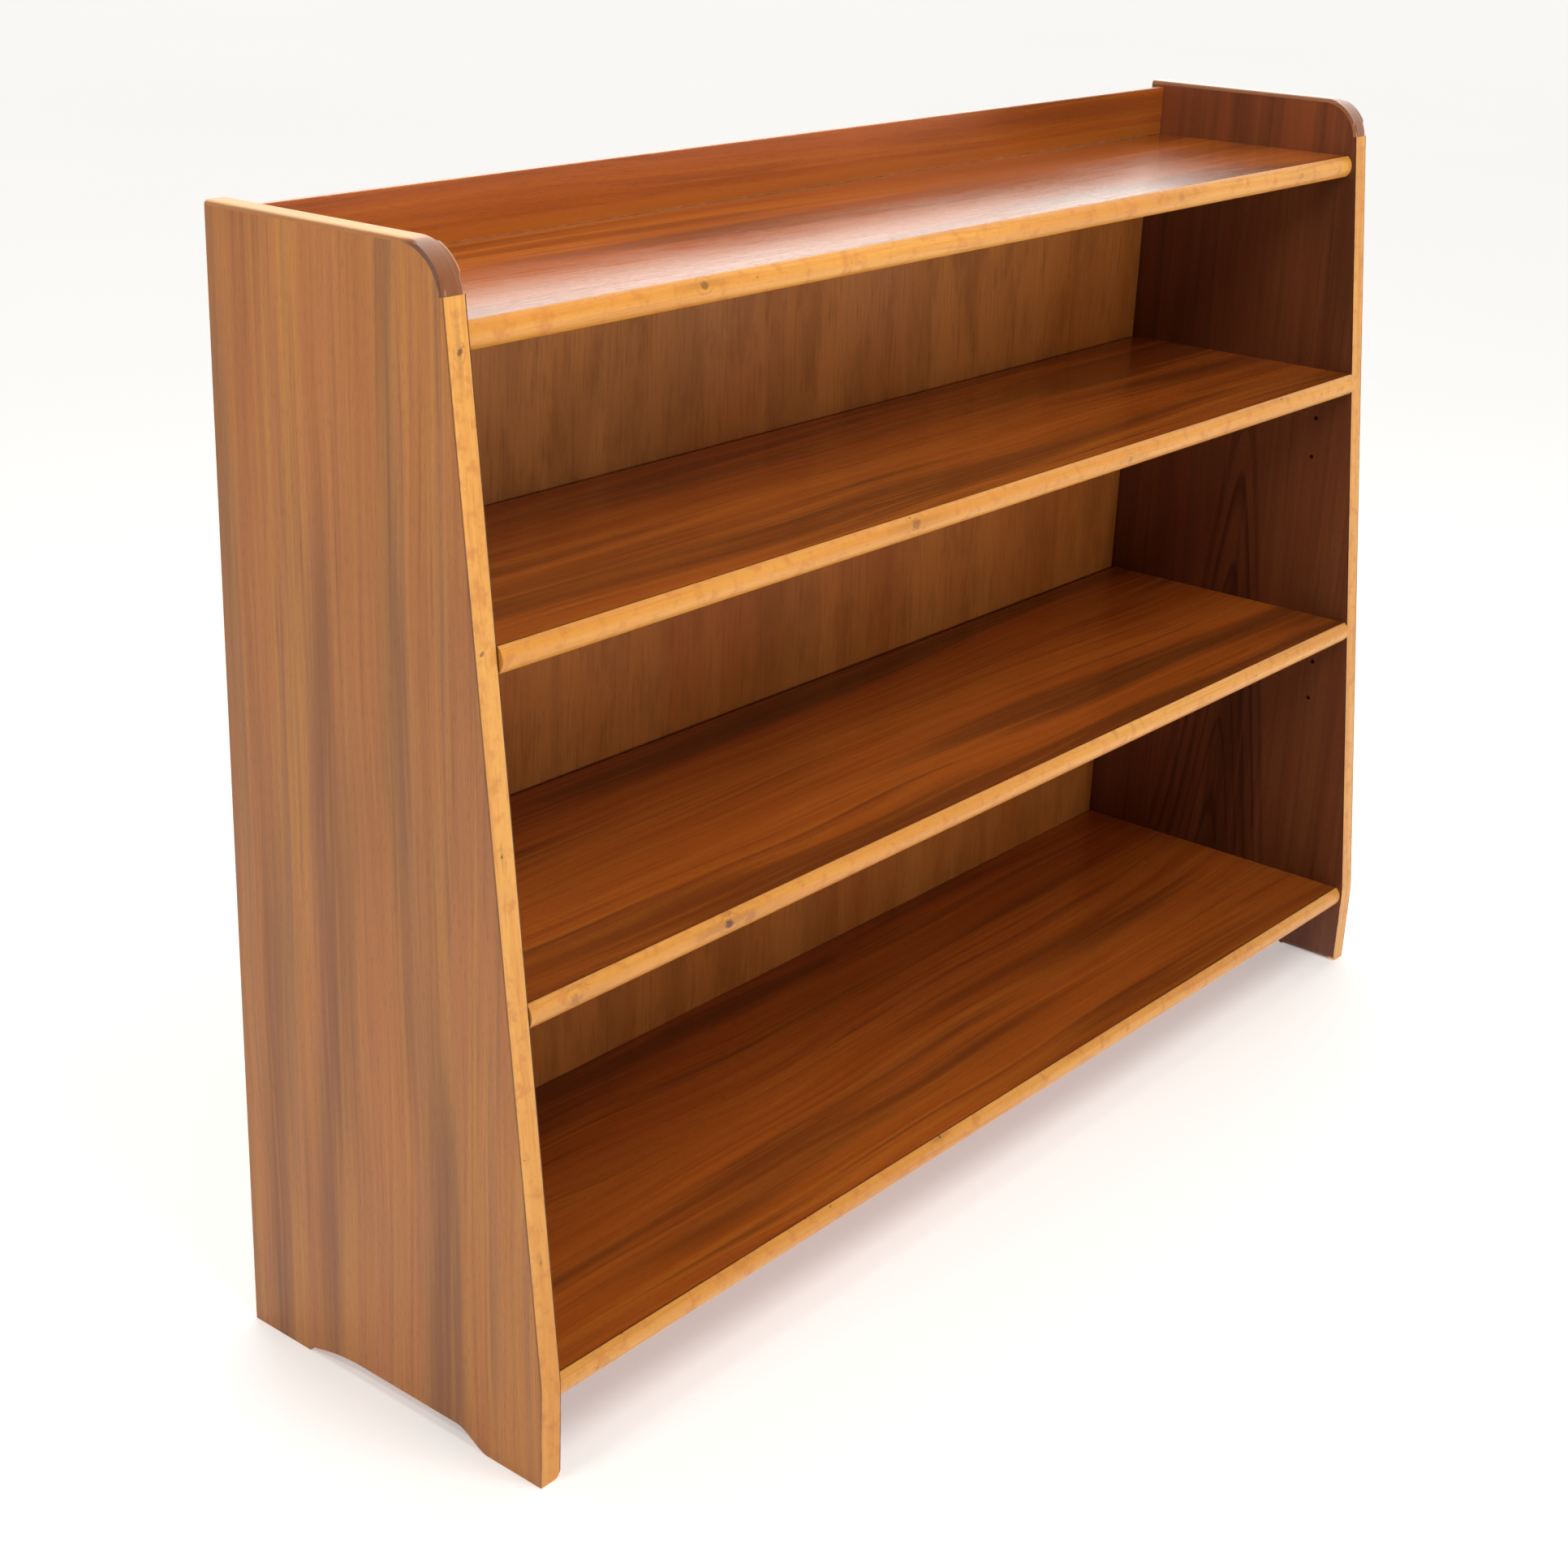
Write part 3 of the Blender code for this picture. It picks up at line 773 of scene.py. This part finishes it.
def veneerMaterial(name, along, box, seed, bold=1.0, rough=0.2, wave=0.035, flame=None, front=0.0):
    # stained veneer on a board's box; along is Z for a side, X for a shelf, XZ for a rail on edge;
    # a flame is (across, along, width) of a cathedral figure
    low, high = box
    upright = along == "Z"
    p = Paint(name, Specular_IOR_Level=0.4 if upright else 0.5)
    if along == "X":  # across the grain, along it, and through the board
        straight, v, w = p.y + p.z, p.x, p.z - p.y
    elif upright:
        straight, v, w = p.y + p.x * 0.5, p.z, p.x
    else:
        straight, v, w = p.z + p.y * 0.5, p.x, p.y
    drift = p.noise(straight * 4, v * 1.1, w * 3 + seed, 2.0) - 0.5
    wander = p.noise(straight * 30, v * 4.0, seed + 3.1, 1.0) - 0.5
    u = straight + drift * wave + wander * 0.004
    wide = p.noise(u * 13, v * 0.9, w * 4 + seed, 2.0, 0.5)  # from here on ever finer
    broad = p.noise(u * 34, v * 0.9, w * 6 + seed, 3.0, 0.55)
    tint = p.noise(u * 110, v * 1.4, seed + 7.7, 3.0, 0.6)
    bands = p.noise(u * 200, v * 3.2, w * 9 + seed, 3.0, 0.6)
    lines = p.noise(u * 700, v * 11, seed + 1.3, 3.0, 0.65)
    pores = p.noise(u * 1900, v * 90, w * 40 + seed, 2.0, 0.6)
    shades, dark = veneer["inner"], veneer["dark"]
    if upright:  # the inner face is painted darker than the outer one, as painted shade inside the bays
        middle = (innerX + outerX) / 2
        isOuter = p.fade(abs(p.x), middle, middle + 0.0001)
        pairs = zip(veneer["shadedWall"], veneer["outer"])
        shades = [p.mix(isOuter, inner, paintedLit) for inner, paintedLit in pairs]
        dark = p.mix(isOuter, veneer["shadedWallDark"], dark)
    base, pink, yellow, grey = shades
    colour = p.mix(p.fade(tint, 0.36, 0.64), pink, yellow)
    colour = p.mix(p.fade(broad, 0.34, 0.62), base, colour)
    colour = p.mix(p.fade(broad, 0.54, 0.68) * 0.45 * bold, colour, grey)
    colour = p.mix(p.fade(wide, 0.48, 0.66) * 0.42 * bold, colour, dark)
    if flame:
        across, height, width = flame
        sideways = (straight - across + drift * 0.03) / width
        arch = p.maths("SQRT", sideways * sideways * 6 + 0.2) + (v - height) * 6.0 + drift * 1.4
        rings = p.maths("SINE", (arch + p.noise(arch * 2.2, seed, 0.0, 2.0) * 0.9) * 12.0)
        inFlame = p.fade(arch, 0.5, 0.1) * p.fade(abs(sideways), 2.4, 1.0)
        colour = p.mix(p.fade(rings, 0.1, 1.0) * inFlame * 0.6, colour, dark)
    colour = p.mix(p.fade(bands, 0.50, 0.74) * 0.24 * bold, colour, dark)
    colour = p.mix(p.fade(bands, 0.46, 0.30) * 0.35, colour, yellow)
    colour = p.mix(p.fade(lines, 0.50, 0.78) * 0.17 * bold, colour, dark)
    colour = p.mix(p.fade(pores, 0.50, 0.72) * 0.34, colour, dark)
    # uneven stain over the whole board
    patchy = p.noise(p.x * 2.5, p.y * 2.5 + seed, p.z * 2.5, 3.0)
    shade = p.fade(patchy, 0.25, 0.75, 0.88, 1.06)
    shaded = Value(p, p.node("CombineColor", {}, {0: shade, 1: shade, 2: shade}).outputs[0])
    colour = p.mix(1.0, colour, shaded, "MULTIPLY")
    if upright:  # painted light above the top shelf, greyer at the rear, a dark line down the front
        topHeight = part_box("top_shelf")[1].z
        aboveTop = p.fade(p.z, topHeight - 0.004, topHeight + 0.004) * (1 - isOuter)
        colour = p.mix(aboveTop * p.fade(broad, 0.40, 0.62, 0.15, 0.6), colour, veneer["litAboveTop"])
        colour = p.mix(p.fade(p.y, 0.164, 0.178) * 0.35, colour, grey)
        fromSlope = frontNormal.dot(frontTop) - (p.y * frontNormal.y + p.z * frontNormal.z)
        fromFront = p.least(fromSlope, p.y - low[1])
        colour = p.mix(p.fade(fromFront, 0.0014, 0.0004) * 0.7, colour, dark)
    if along == "XZ":  # a pale foot
        colour = p.mix(p.fade(p.z, low[2] + 0.015, low[2] + 0.011) * 0.45, colour, yellow)
    # worn edges
    ragged = (p.noise(p.x * 90, p.y * 90, p.z * 90 + seed, 2.0) - 0.5) * 0.0022
    gap = edgeGap(p, low, high) + ragged
    colour = p.mix(p.fade(gap, 0.0006, 0.0001) * 0.55, colour, veneer["wornAndLit"])
    if front:
        fromNosing = p.fade(p.y, low[1] + 0.0020, low[1] + 0.0008)
        colour = p.mix(fromNosing * front, colour, veneer["dark"])
    roughness = p.fade(lines, 0.3, 0.7, rough - 0.02, rough + 0.06)
    roughness = roughness + p.fade(patchy, 0.3, 0.7, -0.02, 0.04)
    height = lines * -0.3 + p.fade(pores, 0.55, 0.75) * -0.6
    height = height + p.noise(u * 60, v * 9, w * 20, 2.0) * 1.2
    return p.finish(colour, roughness, height, 0.12, 0.0003)


light = {
    "base": tone(212, 142, 52),
    "pale": tone(224, 160, 70),
    "warm": tone(194, 116, 42),
    "streak": tone(176, 98, 36),
    "knot": tone(104, 52, 22),
}


def lippingMaterial(name, along, knots=(), seed=0.0):
    # pale solid wood; a knot is (across, along, radius, darkness)
    p = Paint(name, Specular_IOR_Level=0.5)
    u, v, w = (p.x, p.z, p.y) if along == "Z" else (p.z, p.x, p.y)
    bend = p.noise(u * 20, v * 2.5, seed, 2.0) - 0.5
    swirl = None
    for across, place, radius, dark in knots:
        sideways, ahead = (u - across) / radius, (v - place) / (radius * 1.5)
        wobble = p.noise(p.x * 240, p.y * 240, p.z * 240, 3.0, 0.6) - 0.5
        far = p.maths("SQRT", sideways * sideways + ahead * ahead) + bend * 0.8 + wobble * 1.3
        core = p.fade(far, 1.05, 0.4) * dark
        rings = p.fade(p.maths("SINE", far * 5.0), 0.0, 1.0) * p.fade(far, 3.4, 0.8) * dark * 0.35
        inLine = p.fade(abs(sideways + bend * 2), 1.1, 0.2)
        tail = inLine * p.fade(abs(v - place), radius * 12, radius * 2) * 0.35 * dark
        marks = p.most(core, rings, tail)
        swirl = p.most(swirl, marks) if swirl else marks
    u = u + bend * 0.02
    broad = p.noise(u * 60, v * 1.8, w * 30 + seed, 3.0, 0.6)
    bands = p.noise(u * 420, v * 4.5, w * 240 + seed, 3.0, 0.6)
    flecks = p.noise(u * 1700, v * 90, w * 900, 1.0)
    colour = p.mix(p.fade(broad, 0.35, 0.65), light["base"], light["pale"])
    blotch = p.noise(p.x * 70, p.y * 70, p.z * 70 + seed, 3.0, 0.6)
    colour = p.mix(p.fade(blotch, 0.48, 0.72) * 0.6, colour, light["warm"])
    colour = p.mix(p.fade(bands, 0.50, 0.72) * 0.5, colour, light["warm"])
    colour = p.mix(p.fade(bands, 0.64, 0.80) * 0.3, colour, light["streak"])
    colour = p.mix(p.fade(flecks, 0.62, 0.74) * 0.35, colour, light["streak"])
    specks = p.noise(p.x * 130, p.y * 130, p.z * 130 + seed, 1.0)
    colour = p.mix(p.fade(specks, 0.775, 0.80) * 0.7, colour, light["knot"])
    if swirl:
        colour = p.mix(swirl, colour, light["knot"])
    roughness = p.fade(bands, 0.3, 0.7, 0.32, 0.42)
    return p.finish(colour, roughness, bands * -0.5 + flecks * -0.4, 0.15, 0.0003)


edgingTones = {
    "base": tone(134, 84, 56),
    "warm": tone(150, 98, 68),
    "grain": tone(100, 58, 38),
    "flank": tone(186, 124, 68),  # along the straight part
    "top": tone(222, 180, 130),  # painted reflection of the bright surround along its top
    # painted highlight along the inner rim
    "rim": tone(214, 168, 120),
    "shadow": tone(84, 46, 28),
    "bend": (-0.055, -0.035),  # where the rounded corner gives way to the straight part
}


def edgingMaterial(name, wornAndLit):
    # the dark strip over the top, painted pale along its top and inner rim as painted reflection and
    # painted highlight, strongest on the lit left side
    p = Paint(name, Specular_IOR_Level=0.5)
    grain = p.noise(p.x * 900, p.y * 9 + p.z * 9, p.z * 60, 3.0, 0.6)
    broad = p.noise(p.x * 120, p.y * 7, p.z * 7, 2.0)
    bendEnd, straightStart = edgingTones["bend"]
    colour = p.mix(p.fade(broad, 0.35, 0.65), edgingTones["base"], edgingTones["warm"])
    colour = p.mix(p.fade(grain, 0.5, 0.75) * 0.4, colour, edgingTones["grain"])
    ragged = (p.noise(p.x * 160, p.y * 22, p.z * 22, 2.0) - 0.5) * 0.0012
    onTop = p.fade(p.z + ragged, caseHigh.z - 0.0016, caseHigh.z - 0.0004)
    # the straight part is painted paler and its top gets the painted reflection, both scaled by how much
    # painted light this edging gets
    straight = p.fade(p.y, bendEnd, straightStart) * wornAndLit
    colour = p.mix(straight * 0.75, colour, edgingTones["flank"])
    onTop = onTop * straight
    colour = p.mix(onTop, colour, edgingTones["top"])
    # painted highlight on the inner rim
    rim = p.fade(abs(p.x), innerX + 0.0016, innerX + 0.0006)
    colour = p.mix(rim * 0.6 * wornAndLit, colour, edgingTones["rim"])
    outside = p.fade(abs(p.x), outerX - 0.0010, outerX - 0.0002)
    onCorner = p.fade(p.y, straightStart, bendEnd)
    colour = p.mix(outside * onCorner * 0.6, colour, edgingTones["shadow"])
    roughness = p.fade(grain, 0.3, 0.7, 0.13, 0.20) + onTop * 0.4
    return p.finish(colour, roughness, grain * -0.5, 0.08, 0.0003)


plyTones = {
    "base": tone(166, 92, 34),
    # painted light: the tone towards the top and the left of the back
    "paintedLit": tone(184, 122, 62),
    "gold": tone(192, 122, 52),
    "wave": tone(130, 72, 24),
    "mottle": tone(128, 72, 28),
    "line": tone(112, 62, 24),
    "fleck": tone(104, 58, 28),
    "core": tone(96, 56, 30),  # every other ply on an edge
}


def plywoodMaterial():
    # stained birch plywood: flame figure on its faces, thin plies on its edges, and painted light that
    # makes it paler higher up and towards the left
    p = Paint("plywood", Specular_IOR_Level=0.25)
    drift = p.noise(p.x * 3.2, p.z * 0.8, 5.0, 2.0) - 0.5
    u = p.x + drift * 0.09
    waves = p.maths("SINE", (p.noise(u * 5.5, p.z * 0.55, 2.0, 2.0, 0.55) * 34.0) + p.x * 8)
    broad = p.noise(u * 9, p.z * 0.6, 9.0, 3.0, 0.6)
    lines = p.noise(u * 240, p.z * 14.0, 4.0, 3.0, 0.65)
    flecks = p.noise(u * 1300, p.z * 90, 1.0, 2.0)
    # painted light: paler higher up and towards the left, where more light reaches the back
    paintedLit = p.fade(p.z - p.x * 0.25 + drift * 0.4, 0.55, 0.95)
    colour = p.mix(paintedLit, plyTones["base"], plyTones["paintedLit"])
    colour = p.mix(p.fade(broad, 0.35, 0.65) * 0.5, colour, plyTones["gold"])
    colour = p.mix(p.fade(waves, 0.1, 1.0) * 0.30, colour, plyTones["wave"])
    mottle = p.noise(p.x * 26, p.z * 9, 3.0, 5.0, 0.7)
    colour = p.mix(p.fade(mottle, 0.46, 0.66) * 0.38, colour, plyTones["mottle"])
    colour = p.mix(p.fade(lines, 0.48, 0.72) * 0.40, colour, plyTones["line"])
    colour = p.mix(p.fade(flecks, 0.60, 0.75) * 0.3, colour, plyTones["fleck"])
    plies = p.maths("SINE", (caseHigh.y - p.y) * 3900.0)
    backLow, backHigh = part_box("back_panel")
    gap = edgeGap(p, backLow, backHigh)
    fromFaces = p.least(caseHigh.y - p.y, p.y - backLow.y)
    onEdge = p.fade(gap, 0.0004, 0.0002) * p.fade(fromFaces, 0.0, 0.0002)
    colour = p.mix(onEdge * p.fade(plies, -0.2, 0.6) * 0.6, colour, plyTones["core"])
    roughness = p.fade(broad, 0.3, 0.7, 0.42, 0.55)
    return p.finish(colour, roughness, lines * -0.5 + flecks * -0.3, 0.2, 0.0003)


def dowelMaterial():
    p = Paint("dowel", Specular_IOR_Level=0.4)
    lines = p.noise(p.x * 60, p.y * 700, p.z * 700, 3.0, 0.6)
    flecks = p.noise(p.x * 300, p.y * 1500, p.z * 1500, 1.0)
    colour = p.mix(p.fade(lines, 0.35, 0.65), tone(214, 172, 122), tone(188, 138, 90))
    colour = p.mix(p.fade(flecks, 0.6, 0.7) * 0.5, colour, tone(150, 98, 60))
    return p.finish(colour, p.fade(lines, 0.3, 0.7, 0.5, 0.65), lines, 0.2, 0.0003)


def metalMaterial(name, clean, dull, rough):
    p = Paint(name, Metallic=1.0)
    tarnish = p.noise(p.x * 260, p.y * 260, p.z * 260, 3.0, 0.6)
    scratches = p.noise(p.x * 900, p.y * 900, p.z * 9000, 2.0)
    colour = p.mix(p.fade(tarnish, 0.45, 0.68), clean, dull)
    roughness = p.fade(tarnish, 0.35, 0.7, rough, rough + 0.25)
    return p.finish(colour, roughness, scratches * 0.6 + tarnish * 0.4, 0.1, 0.0002)


def dress(piece, material):
    piece.data.materials.clear()
    piece.data.materials.append(material)


boards = {  # figure strength, gloss, how far the grain wanders, dark line by the nosing
    "left": {"bold": 1.3, "rough": 0.30},
    "right": {"bold": 1.2, "rough": 0.30, "flame": (innerX * 0.5 + 0.012, 0.68, 0.055)},
    "shelf": {"bold": 1.8, "rough": 0.14, "wave": 0.09, "front": 0.8},
    "upstand": {"bold": 1.3},
}
seeds = {"left": 4.0, "right": 11.0, "top": 20.0, "upper": 23.0, "lower": 26.0, "bottom": 29.0}
# how much painted light and painted reflection each edging gets: the left one is lit, the right one is
# not
edgingPaintedLight = {"left": 1.0, "right": 0.12}
lippingKnots = {
    "left": [(-0.6842, 0.923, 0.0036, 0.9), (-0.687, 0.547, 0.0014, 0.9), (-0.684, 0.205, 0.0012, 0.9)],
    "right": [],
    "top": [(0.936, -0.411, 0.0040, 0.7), (0.933, 0.313, 0.006, 0.35), (0.932, 0.56, 0.005, 0.3)],
    "upper": [(0.6985, -0.157, 0.0058, 0.6), (0.694, 0.20, 0.004, 0.5)],
    "lower": [(0.4125, -0.435, 0.0050, 1.0), (0.4095, -0.407, 0.007, 0.35), (0.4085, -0.623, 0.007, 0.5)],
    "bottom": [(0.0945, -0.139, 0.002, 0.9)],
}
sideBoxes = {
    "left": (caseLow, Vector((-innerX, caseHigh.y, caseHigh.z))),
    "right": (Vector((innerX, caseLow.y, caseLow.z)), caseHigh),
}
objects = bpy.data.objects
for hand, box in sideBoxes.items():
    brown = veneerMaterial(hand + "Side", "Z", box, seeds[hand], **boards[hand])
    dress(objects[hand + "Board"], brown)
    pale = lippingMaterial(hand + "Lipping", "Z", lippingKnots[hand], 3.0)
    dress(objects[hand + "Lipping"], pale)
    dress(objects[hand + "Edging"], edgingMaterial(hand + "Edging", edgingPaintedLight[hand]))
for number, word in enumerate(shelfBodies, 30):
    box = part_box(word + "_shelf")
    brown = veneerMaterial(word + "Shelf", "X", box, seeds[word], **boards["shelf"])
    dress(objects[word + "Shelf"], brown)
    pale = lippingMaterial(word + "Nosing", "X", lippingKnots[word], number)
    dress(objects[word + "Nosing"], pale)
rail = veneerMaterial("upstand", "XZ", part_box("upstand"), 50.0, **boards["upstand"])
dress(objects["upstandRail"], rail)
plywood, dowel = plywoodMaterial(), dowelMaterial()
steel = metalMaterial("steel", tone(190, 190, 186), tone(120, 112, 104), 0.3)
brass = metalMaterial("brass", tone(206, 172, 102), tone(124, 92, 52), 0.32)
for node in wireNodes:
    dress(objects[node.replace("_", "-")], steel)
for piece in screws:
    dress(piece, brass)

# the back and the dowels stay the frame's own nodes
back = frame["nodes"]["back_panel"]
dress(back, plywood)
for node in dowelNodes:
    dress(frame["nodes"][node], dowel)
print("materials made")


# floor, light and camera

studio = {
    "floor": 60.0,
    "floorTones": ((0.85, 0.86, 0.89, 1.0), (0.89, 0.90, 0.93, 1.0)),
    "floorGlow": 0.32,
    "white": (1.0, 1.0, 1.0, 1.0),
    "surround": (0.12, 2.2),  # how bright it is before and behind the bookcase
    "surroundTone": (1.0, 0.96, 0.90, 1.0),
    "behind": (0.69, 0.72, 0.0),
    "brightens": (-0.1, 0.9),  # from before to behind, as the cosine of the angle
    "lampTone": (1.0, 0.96, 0.88),
    "lights": [  # place, aim, width, height, radiance
        ((-3.0, 0.9, 1.3), (-0.7, 0.0, 0.6), 2.2, 2.2, 0.5),
        ((-2.2, 0.1, 2.6), (-0.7, -0.05, 0.95), 0.45, 0.32, 32.0),
        ((0.5, -3.6, 1.1), (-0.1, 0.0, 0.5), 1.8, 1.3, 4.6),
        ((-0.4, -1.3, 2.7), (-0.1, -0.1, 0.4), 1.5, 1.2, 6.4),
    ],
    "cameraPlace": (-1.902, -1.350, 1.2996),
    "cameraTurn": (-49.502, 90 - 21.861, 1.523),
    "lens": 57.07,
    "shift": 0.060,
}


def makeFloor():
    bpy.ops.object.select_all(action="DESELECT")
    bpy.ops.mesh.primitive_plane_add(size=studio["floor"], location=(0, 0, 0))
    floor = rename(bpy.context.object, "floor")
    paper = Paint("paper", Roughness=0.9, Emission_Strength=studio["floorGlow"])
    cloud = paper.noise(paper.x * 0.5, paper.y * 0.5, 0.0, 2.0)
    paper.feed(paper.shader.inputs["Base Color"], paper.mix(cloud, *studio["floorTones"]))
    paper.feed(paper.shader.inputs["Emission Color"], studio["white"])
    dress(floor, paper.material)


def makeSurround():
    # soft light from all round, brightest behind, which the camera itself sees as plain white
    world = bpy.data.worlds.new("surround")
    bpy.context.scene.world = world
    world.use_nodes = True
    tree = world.node_tree
    dim = tree.nodes["Background"]
    dim.inputs["Color"].default_value = studio["surroundTone"]
    facing = tree.nodes.new("ShaderNodeVectorMath")
    facing.operation = "DOT_PRODUCT"
    facing.inputs[1].default_value = studio["behind"]
    towards = tree.nodes.new("ShaderNodeTexCoord").outputs["Generated"]
    tree.links.new(towards, facing.inputs[0])
    strength = tree.nodes.new("ShaderNodeMapRange")
    strength.interpolation_type = "SMOOTHSTEP"
    for place, value in enumerate((*studio["brightens"], *studio["surround"]), 1):
        strength.inputs[place].default_value = value
    tree.links.new(facing.outputs["Value"], strength.inputs[0])
    tree.links.new(strength.outputs[0], dim.inputs["Strength"])
    seen = tree.nodes.new("ShaderNodeBackground")
    seen.inputs["Color"].default_value = studio["white"]
    both = tree.nodes.new("ShaderNodeMixShader")
    isSeen = tree.nodes.new("ShaderNodeLightPath").outputs["Is Camera Ray"]
    tree.links.new(isSeen, both.inputs[0])
    tree.links.new(dim.outputs[0], both.inputs[1])
    tree.links.new(seen.outputs[0], both.inputs[2])
    tree.links.new(both.outputs[0], tree.nodes["World Output"].inputs["Surface"])


def makeLamps():
    for number, (place, aim, width, height, radiance) in enumerate(studio["lights"]):
        lamp = bpy.data.lights.new(f"softBox{number}", "AREA")
        lamp.shape, lamp.size, lamp.size_y = "RECTANGLE", width, height
        lamp.energy = radiance * math.pi * width * height
        lamp.color = studio["lampTone"]
        holder = bpy.data.objects.new(lamp.name, lamp)
        bpy.context.scene.collection.objects.link(holder)
        holder.location = place
        towards = Vector(aim) - Vector(place)
        holder.rotation_euler = towards.to_track_quat("-Z", "Y").to_euler()


def makeCamera():
    view = bpy.data.cameras.new("camera")
    view.lens, view.sensor_width, view.shift_x = studio["lens"], 36.0, studio["shift"]
    view.dof.use_dof = False
    view.clip_start, view.clip_end = 0.05, 100.0
    holder = bpy.data.objects.new("camera", view)
    bpy.context.scene.collection.objects.link(holder)
    pan, tilt, roll = (math.radians(turn) for turn in studio["cameraTurn"])
    turn = Matrix.Rotation(pan, 4, "Z") @ Matrix.Rotation(tilt, 4, "X")
    turn = turn @ Matrix.Rotation(roll, 4, "Z")
    holder.matrix_world = Matrix.Translation(studio["cameraPlace"]) @ turn
    bpy.context.scene.camera = holder


makeFloor()
makeSurround()
makeLamps()
makeCamera()
bpy.context.scene.view_settings.view_transform = "Standard"
print("studio made")
